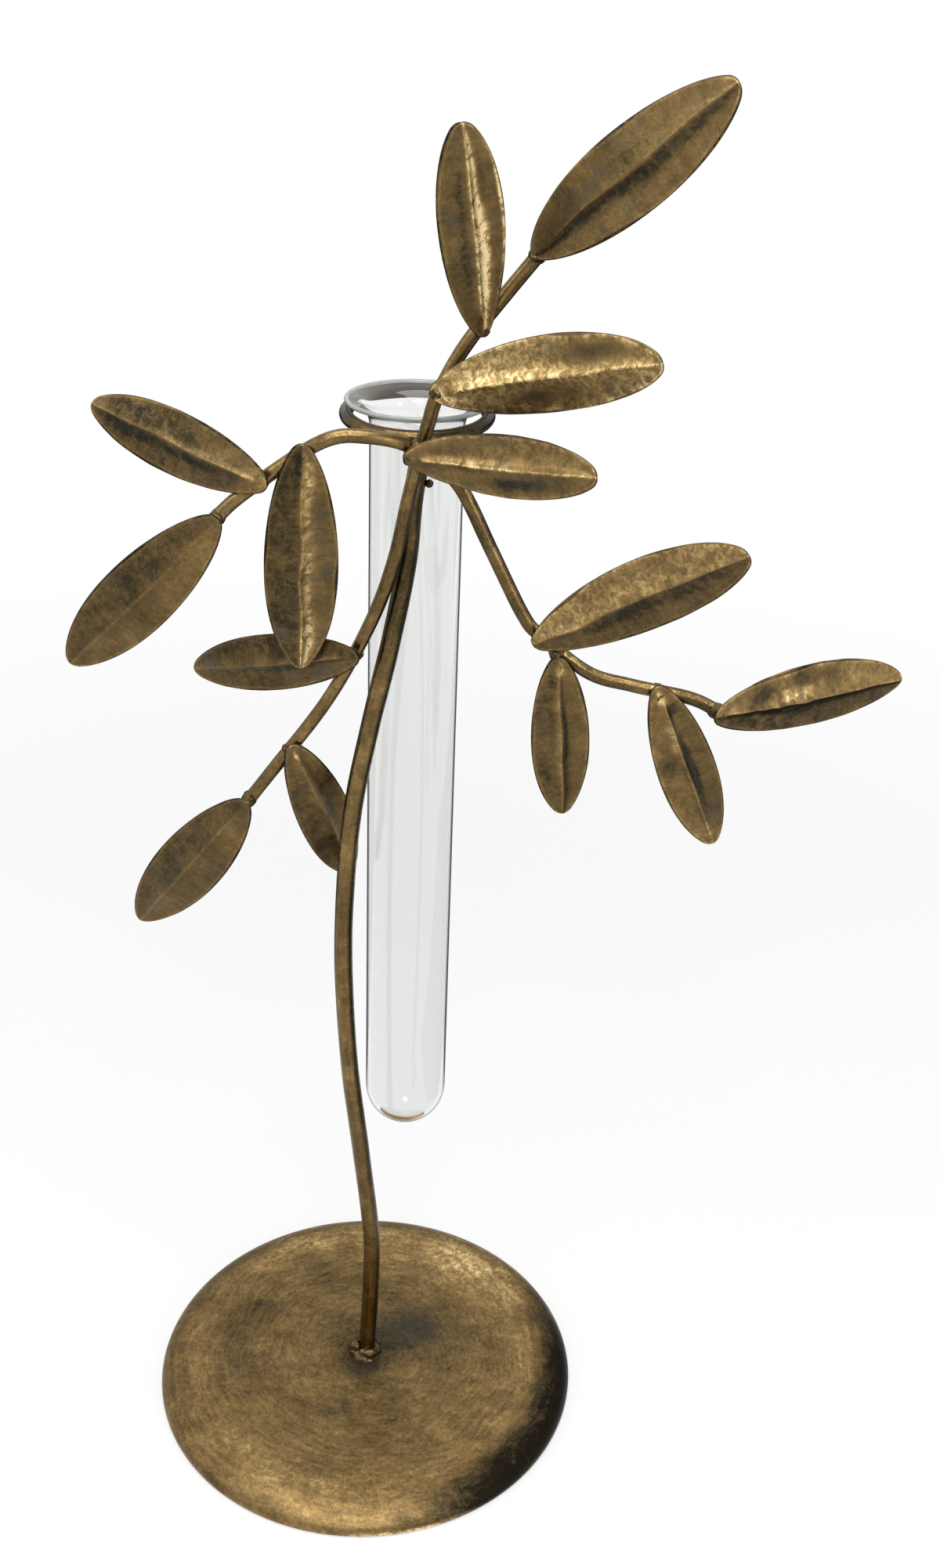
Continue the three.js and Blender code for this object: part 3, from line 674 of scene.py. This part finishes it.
# %% Glass tube
TUBE_RADIUS, WALL, BEAD = 11.0, 1.2, 0.55
LIP_OVERHANG, LIP_ROUND, FLARE_HEIGHT, STRAIGHT = 0.45, 0.3, 5.4, 2.0
DRAWN = [1, 1, 0.02]
DOME_ROWS, WALL_ROWS = 28, 58
TUBE_BOTTOM, LIP_TOP = np.array(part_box("glass_tube"))[:, 2] / MM
BEAD_MIDDLE, BEAD_HEIGHT = RING_RADIUS + LIP_OVERHANG - BEAD, LIP_TOP - BEAD


def arc(radius, height, start, end, steps, middle=0.0):
    """Part of a circle as radius and height, from one angle to another in degrees."""
    angle = np.radians(np.linspace(start, end, steps))
    return np.column_stack([middle + radius * np.cos(angle), height + radius * np.sin(angle)])


def smooth_line(rows):
    """A smooth profile through a few points of radius and height."""
    flat = np.column_stack([np.array(rows, float), np.zeros(len(rows))])
    _, line = walk(flat, step=0.35)
    return line[:, :2]


def tube_surface(loop=128):
    """The profile turned round the tube's own upright axis: dome, wall and flare outside, the round
    of the lip, then flare, wall and dome inside. Gives the points and which rows are outside."""
    bore_radius, flare = TUBE_RADIUS - WALL, BEAD_MIDDLE - TUBE_RADIUS
    dome, low = TUBE_BOTTOM + TUBE_RADIUS, BEAD_HEIGHT - FLARE_HEIGHT
    outer = smooth_line([
        [TUBE_RADIUS, low - STRAIGHT], [TUBE_RADIUS, low], [TUBE_RADIUS + 0.12 * flare, low + 2.2],
        [TUBE_RADIUS + 0.42 * flare, low + 3.7], [BEAD_MIDDLE - 0.1, BEAD_HEIGHT - 0.31]])
    inner = smooth_line([
        [BEAD_MIDDLE - 0.2, BEAD_HEIGHT + 0.25], [TUBE_RADIUS + 0.42 * flare - 0.8, low + 4.5],
        [bore_radius + 0.12 * flare, low + 2.5], [bore_radius, low], [bore_radius, low - STRAIGHT]])
    straight = np.linspace(dome, low - STRAIGHT, WALL_ROWS + 2)[1:-1]
    body = np.column_stack([np.full(WALL_ROWS, TUBE_RADIUS), straight])
    bore = np.column_stack([np.full(WALL_ROWS, bore_radius), straight[::-1]])
    profile = np.vstack([
        arc(TUBE_RADIUS, dome, -90, 0, DOME_ROWS), body, outer,
        arc(LIP_ROUND, BEAD_HEIGHT, -80, 120, 12, BEAD_MIDDLE), inner, bore,
        arc(bore_radius, dome, 0, -90, DOME_ROWS)])
    profile[[0, -1], 0] = 0
    outside = np.arange(len(profile)) < DOME_ROWS + WALL_ROWS + len(outer)
    return turned(profile, loop, RING), outside[:, None]


tube_points, outside = tube_surface()
tube = make_piece("test_tube", tube_points, tube_points, tube_points * DRAWN, outside)
seat(tube, "tube", "clear_glass", "glass_tube")
lip_points, _ = hoop_surface(np.array([RING[0], RING[1], BEAD_HEIGHT]), BEAD_MIDDLE, BEAD, 0.0)
lip = make_piece("tube_lip", lip_points, lip_points, lip_points, ring=True)
seat(lip, "tube", "clear_glass", "glass_tube")
print("tube", round(LIP_TOP - TUBE_BOTTOM, 1), "mm long")

# %% [markdown]
# ## Finishes as sums
# A shader is a graph of nodes, and long graphs are hard to read. The small class below wraps one
# output socket, so that a sum such as 1 - 0.5 * mask adds the Math nodes by itself. Every other node is
# added by its one method, which takes the kind, the sockets and the settings.

# %% Wires
class Wire:
    """One output socket. +, - and * with a number or another wire add a Math node."""

    def __init__(self, tree, socket=None):
        self.tree, self.socket = tree, socket

    def node(self, kind, sockets=(), out=0, **settings):
        """Adds a node: its settings are set first, then its sockets get values or links."""
        made = self.tree.nodes.new(kind)
        for key, value in settings.items():
            if key == "stops":
                stops = made.color_ramp.elements
                for place, _ in value[1:-1]:
                    stops.new(place)
                for stop, (place, colour) in zip(stops, value):
                    stop.position, stop.color = place, (*colour, 1)
            else:
                setattr(made, key, value)
        for key, value in dict(sockets).items():
            if isinstance(value, Wire):
                self.tree.links.new(value.socket, made.inputs[key])
            else:
                made.inputs[key].default_value = value
        return Wire(self.tree, made.outputs[out]) if made.outputs else None

    def maths(self, kind, first, second):
        """A Math node on two values or wires."""
        return self.node("ShaderNodeMath", {0: first, 1: second}, operation=kind)

    def __add__(self, other):
        return self.maths("ADD", self, other)

    def __radd__(self, other):
        return self.maths("ADD", other, self)

    def __sub__(self, other):
        return self.maths("SUBTRACT", self, other)

    def __rsub__(self, other):
        return self.maths("SUBTRACT", other, self)

    def __mul__(self, other):
        return self.maths("MULTIPLY", self, other)

    def __rmul__(self, other):
        return self.maths("MULTIPLY", other, self)

    def mask(self, low, high):
        """0 where this value is below low, 1 above high, smooth between."""
        return self.node("ShaderNodeMapRange", {0: self, 1: low, 2: high}, interpolation_type="SMOOTHSTEP")


# %% Nodes that the finishes share
VECTOR, NUMBER = 1, 2


def new_finish(name):
    """An empty node material, and a wire to start its graph from."""
    material = bpy.data.materials.new(name)
    material.use_nodes = True
    material.node_tree.nodes.clear()
    return material, Wire(material.node_tree)


def kept(start, label, kind):
    """A vector or a number that a piece keeps on its points."""
    return start.node("ShaderNodeAttribute", out=kind, attribute_name=label)


def noise(start, where, scale, detail=3.0, rough=0.6, warp=0.0):
    """Blender's noise at a place on the skin, in features per unit of that place."""
    sockets = {"Vector": where, "Scale": scale, "Detail": detail, "Roughness": rough, "Distortion": warp}
    return start.node("ShaderNodeTexNoise", sockets)


def mix_colour(start, share, first, second):
    """The first colour where share is 0, and the second where it is 1."""
    return start.node("ShaderNodeMix", {0: share, 6: first, 7: second}, out=2, data_type="RGBA")


def principled(start, sockets):
    """A Principled shader with these sockets, linked to the material's surface."""
    shader = start.node("ShaderNodeBsdfPrincipled", sockets)
    start.node("ShaderNodeOutputMaterial", {"Surface": shader})


# %% [markdown]
# ## Aged brass
# The metal is coated brown and gold, brushed, and partly rubbed off again. A picture wrapped round so
# many bent pieces would show seams, so noises are added up instead: clouds, mottling and grain, one
# drawn out to brush strokes, and flecks and sparks that are cut off sharply. Their sum, moved by each
# point's tone and wear, runs through one colour ramp from dark patina to bare gold. Through tone and
# wear the pieces also bring their painted shade and painted highlights into the colour. Grey oxide lies
# over dull places, and the mottling gives the stains ragged edges. Bare spots are smoother, and the
# same noises lift a slight bump.

# %% Aged brass
PATINA_RAMP = [
    (0.0, (0.011, 0.008, 0.0045)), (0.22, (0.050, 0.037, 0.017)), (0.42, (0.150, 0.097, 0.038)),
    (0.60, (0.265, 0.173, 0.067)), (0.80, (0.480, 0.336, 0.140)), (1.0, (0.86, 0.67, 0.34))]
OXIDE = (0.078, 0.071, 0.056, 1)


def brass(name, level, gloss, mottling, stroking=0.0, oxide=0.0, fleck=0.12, clouding=0.40, broken=0.0):
    """A patina finish: how light the metal is, how rough, how strong its mottling, brush strokes, grey
    oxide, crisp flecks and clouds are, and how far the mottling breaks up the stains."""
    material, start = new_finish(name)
    skin, lay = kept(start, "skin", VECTOR), kept(start, "lay", VECTOR)
    tone, wear, dull = (kept(start, label, NUMBER) for label in ("tone", "wear", "grey"))
    clouds = noise(start, skin, 0.11, 3.0, 0.55, 0.6)
    mottle = noise(start, skin, 0.55, 6.0, 0.70, 0.8)
    grain = noise(start, skin, 2.4, 3.0, 0.7)
    strokes = noise(start, lay, 0.9, 4.0, 0.62, 0.5)
    flecks = noise(start, skin, 0.85, 5.0, 0.72, 0.5).mask(0.40, 0.60)
    sparks = grain.mask(0.60, 0.74) * mottle.mask(0.48, 0.62)
    # rubbed patina and painted highlights alike come out bright and smooth here
    rubbed_and_highlight = wear * mottle.mask(0.28, 0.62)
    patches = mottle + broken * (mottle.mask(0.40, 0.60) - mottle)
    light = level + clouding * (clouds - 0.5) + mottling * (mottle - 0.5) + 0.24 * (grain - 0.5)
    light += stroking * (strokes - 0.5) + fleck * (flecks - 0.5) + tone * (0.4 + 1.2 * patches)
    light += 0.42 * rubbed_and_highlight + 0.16 * sparks
    colour = start.node("ShaderNodeValToRGB", {0: light}, stops=PATINA_RAMP)
    grey = oxide * noise(start, skin, 0.15, 4.0, 0.6, 0.4).mask(0.54, 0.70)
    grey = (grey + dull * mottle.mask(0.25, 0.75)) * (1 - rubbed_and_highlight)
    colour = mix_colour(start, grey, colour, OXIDE)
    rough = gloss + 0.16 * (mottle - 0.5) - 0.20 * rubbed_and_highlight - 0.08 * sparks + 0.10 * grey
    height = 0.6 * mottle + 0.35 * grain + stroking * strokes
    bumped = start.node("ShaderNodeBump", {"Strength": 0.35, "Distance": 0.00030, "Height": height})
    principled(start, {"Base Color": colour, "Metallic": 0.96, "Roughness": rough, "Normal": bumped})
    return material


BRASS = {
    "foot": brass("aged_brass_foot", level=0.475, gloss=0.41, mottling=0.46, stroking=0.44,
                  fleck=0.10, clouding=0.16, broken=0.35),
    "rod": brass("aged_brass_rod", level=0.42, gloss=0.26, mottling=0.34, stroking=0.30,
                 fleck=0.05, clouding=0.30),
    "leaf": brass("aged_brass_leaf", level=0.465, gloss=0.36, mottling=0.46, stroking=0.22,
                  oxide=0.5, fleck=0.06, broken=0.8),
    "bead": brass("weld_brass", level=0.50, gloss=0.36, mottling=0.60),
}
BRASS["wire"] = BRASS["rod"]
for piece in metal_pieces:
    piece.data.materials.append(BRASS[piece.name.split("_")[0]])
print(len(metal_pieces), "pieces of brass")

# %% [markdown]
# ## Glass
# The glass is clear with a trace of grey, and has faint drawn streaks along it. Blender has a Glass
# shader, but the Principled one does as much, with full transmission, the index of glass and a very low
# roughness. Where one looks along the wall, at the tube's two sides, real glass shows a thin dark line.
# Here Layer Weight paints that line into the outer skin's colour, from any side, as painted shade in
# place of the dark surroundings that the wall would show. The bead at the lip is pale and half clear,
# a colour that paints the bright reflection on its flat top. Neither piece casts a shadow, because a
# path tracer would make it as dark as that of a solid rod.

# %% Glass
# the second colour is a painted dark edge
CLEAR_TINT, PAINTED_DARK_EDGE = (0.893, 0.900, 0.890, 1), (0.012, 0.013, 0.013, 1)
# the lip's pale colours paint the bright reflection on its flat top
LIP_PAINTED_LIGHT_THIN, LIP_PAINTED_LIGHT_THICK = (0.30, 0.335, 0.30, 1), (0.46, 0.49, 0.45, 1)
GLASS_INDEX = 1.5

glass, start = new_finish("clear_glass")
streaks = noise(start, kept(start, "lay", VECTOR), 0.5, 2.0)
drawn = start.node("ShaderNodeBump", {"Strength": 0.03, "Distance": 0.0004, "Height": streaks})
# painted shade: near black on the outer skin where one looks along the wall
glancing = start.node("ShaderNodeLayerWeight", {"Blend": 0.5}, out="Facing").mask(0.68, 0.80)
edge = kept(start, "tone", NUMBER) * glancing
principled(start, {
    "Base Color": mix_colour(start, edge, CLEAR_TINT, PAINTED_DARK_EDGE), "Roughness": 0.004 + 0.012 * streaks,
    "IOR": GLASS_INDEX, "Transmission Weight": 1.0, "Normal": drawn})
tube.data.materials.append(glass)

lip_glass, start = new_finish("lip_glass")
swirl = noise(start, kept(start, "skin", VECTOR), 0.25, 3.0)
principled(start, {
    "Base Color": mix_colour(start, swirl, LIP_PAINTED_LIGHT_THIN, LIP_PAINTED_LIGHT_THICK), "Roughness": 0.06 + 0.06 * swirl,
    "IOR": GLASS_INDEX, "Transmission Weight": 0.45})
lip.data.materials.append(lip_glass)
tube.visible_shadow = lip.visible_shadow = False
print("glass on", tube.name, "and", lip.name)

# %% [markdown]
# ## Felt
# A felt pad is glued under the foot, so that it doesn't scratch a table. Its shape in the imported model
# is right as it is, so it only gets a finish. Hair would be too much for a pad that hardly shows. A fine
# noise colours the fibres and lifts a nap, and a little sheen makes them soft.

# %% Felt
FIBRE_DARK, FIBRE_PALE = (0.010, 0.010, 0.009, 1), (0.050, 0.048, 0.044, 1)

felt, start = new_finish("dark_felt")
fibre = noise(start, start.node("ShaderNodeTexCoord", out="Object"), 2600.0, 5.0, 0.7, 0.6)
nap = start.node("ShaderNodeBump", {"Strength": 0.6, "Distance": 0.0003, "Height": fibre})
principled(start, {
    "Base Color": mix_colour(start, fibre, FIBRE_DARK, FIBRE_PALE), "Roughness": 0.95,
    "Sheen Weight": 0.3, "Normal": nap})
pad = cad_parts["felt_pad"]
pad.data.materials.clear()
pad.data.materials.append(felt)

# %% [markdown]
# ## Floor
# The background of the picture is white, so the floor is a pale sheet that glows a little for the eye,
# for gloss and through glass. Near the foot it still takes the soft shadow of the stand, and further
# out it runs into plain white. For scattered light it is an ordinary pale sheet, so it lights the
# metal no more than paper would. The world behind it is made the same way.

# %% Floor
FLOOR, FLOOR_LEVEL = 12.0, -0.0002
WHITE, MATT, PAPER = (1, 1, 1, 1), (0.42, 0.42, 0.42, 1), (0.8, 0.8, 0.8, 1)
FLOOR_GLOW, NEAR, FAR = 0.45, 0.15, 0.7


def lying(height, *plan):
    """The corners of a level sheet from their places in plan."""
    return [(x, y, height) for x, y in plan]


def sheet_object(name, corners, material):
    """A flat four-cornered sheet of the stage."""
    mesh = bpy.data.meshes.new(name)
    mesh.from_pydata(corners, [], [(0, 1, 2, 3)])
    sheet = bpy.data.objects.new(name, mesh)
    scene.collection.objects.link(sheet)
    mesh.materials.append(material)
    return sheet


def seen_rays(start):
    """1 for what the eye sees, straight, in gloss or through glass, and 0 for scattered light."""
    rays = [start.node("ShaderNodeLightPath", out=label)
            for label in ("Is Camera Ray", "Is Glossy Ray", "Is Transmission Ray")]
    total = rays[0] + rays[1] + rays[2]
    return total.maths("MINIMUM", total, 1.0)


paper, start = new_finish("pale_floor")
seen = seen_rays(start)
place = start.node("ShaderNodeTexCoord", out="Object")
far = start.node("ShaderNodeVectorMath", {0: place}, out="Value", operation="LENGTH").mask(NEAR, FAR)
matt = start.node("ShaderNodeBsdfDiffuse", {"Color": MATT})
glow = start.node("ShaderNodeEmission", {"Color": WHITE, "Strength": FLOOR_GLOW})
white = start.node("ShaderNodeEmission", {"Color": WHITE, "Strength": 1.0})
sheet = start.node("ShaderNodeBsdfDiffuse", {"Color": PAPER})
near = start.node("ShaderNodeAddShader", {0: matt, 1: glow})
picture = start.node("ShaderNodeMixShader", {0: far, 1: near, 2: white})
both = start.node("ShaderNodeMixShader", {0: seen, 1: sheet, 2: picture})
start.node("ShaderNodeOutputMaterial", {"Surface": both})
floor = lying(FLOOR_LEVEL, (-FLOOR, -FLOOR), (FLOOR, -FLOOR), (FLOOR, FLOOR), (-FLOOR, FLOOR))
sheet_object("floor", floor, paper)
print("floor", 2 * FLOOR, "m wide")

# %% World
STUDIO_LIGHT = 0.42

world = bpy.data.worlds.new("white_studio")
world.use_nodes = True
world.node_tree.nodes.clear()
start = Wire(world.node_tree)
soft = start.node("ShaderNodeBackground", {"Color": WHITE, "Strength": STUDIO_LIGHT})
bright = start.node("ShaderNodeBackground", {"Color": WHITE, "Strength": 1.0})
around = start.node("ShaderNodeMixShader", {0: seen_rays(start), 1: soft, 2: bright})
start.node("ShaderNodeOutputWorld", {"Surface": around})
scene.world = world
scene.view_settings.view_transform = "Standard"
print("world", world.name, "shown as", scene.view_settings.view_transform)

# %% [markdown]
# ## Light
# A picture of a studio round the scene could light it, but lamps and cards are easier to aim. The
# light is that of a small photo tent: a wide soft lamp above, one in front, a weak one at the left and
# a narrow one at the right. Metal only looks like metal if it has something dark to mirror, so dark
# cards lie on the table at the right and behind the stand, and two low ones stand further off. Only
# gloss sees the cards, and neither the eye nor the glass sees the lamps, so the background stays plain.

# %% Lamps
MIDDLE = np.array([0.0, 0.0, 0.2])
NEARLY_UP = [0.02, 0.03, 1.0]
LAMPS = {
    "top_lamp": ((0.0, -0.2, 1.3), 0.9, 0.9, 12),
    "front_lamp": ((0.05, -0.9, 0.95), 0.5, 0.5, 6),
    "left_lamp": ((-0.9, -0.3, 0.8), 0.4, 0.4, 1.5),
    "right_lamp": ((0.72, -0.62, 0.42), 0.25, 0.5, 1.6),
}


def facing(right, up, back, place):
    """A world matrix whose columns are three directions and a place."""
    columns = np.column_stack([right, up, back, place])
    return Matrix(columns.tolist() + [[0, 0, 0, 1]])


for name, (place, width, height, power) in LAMPS.items():
    data = bpy.data.lights.new(name, "AREA")
    data.shape, data.size, data.size_y, data.energy = "RECTANGLE", width, height, power
    lamp = bpy.data.objects.new(name, data)
    scene.collection.objects.link(lamp)
    back = unit(np.array(place) - MIDDLE)
    side = unit(np.cross(NEARLY_UP, back))
    lamp.matrix_world = facing(side, np.cross(back, side), back, place)
    lamp.visible_camera = lamp.visible_transmission = False
print(len(LAMPS), "lamps of", sum(row[-1] for row in LAMPS.values()), "watts in all")

# %% Dark cards
CARD_LEVEL, CARD_TOP = 0.003, 0.30
INNER, CORNER, FAR_LEFT = (0.12, 0.13), (0.55, 0.90), (-0.90, 0.90)


def standing(left, right):
    """The corners of a card that stands up from a line on the table."""
    return [(*left, 0.0), (*right, 0.0), (*right, CARD_TOP), (*left, CARD_TOP)]


CARDS = {
    "card_right": standing((0.55, 0.26), CORNER),
    "card_back": standing(FAR_LEFT, CORNER),
    "card_table_right": lying(CARD_LEVEL, (0.12, -0.10), (0.34, -0.02), CORNER, INNER),
    "card_table_back": lying(CARD_LEVEL, INNER, CORNER, FAR_LEFT, (-0.90, 0.08)),
}
cloth, start = new_finish("dark_cloth")
weave = noise(start, start.node("ShaderNodeTexCoord", out="Object"), 40.0)
shade = mix_colour(start, weave, (0.05, 0.05, 0.05, 1), (0.09, 0.09, 0.09, 1))
card_shader = start.node("ShaderNodeBsdfDiffuse", {"Color": shade})
start.node("ShaderNodeOutputMaterial", {"Surface": card_shader})
for name, corners in CARDS.items():
    card = sheet_object(name, corners, cloth)
    card.visible_camera = card.visible_diffuse = False
    card.visible_shadow = card.visible_transmission = False
print(len(CARDS), "dark cards")
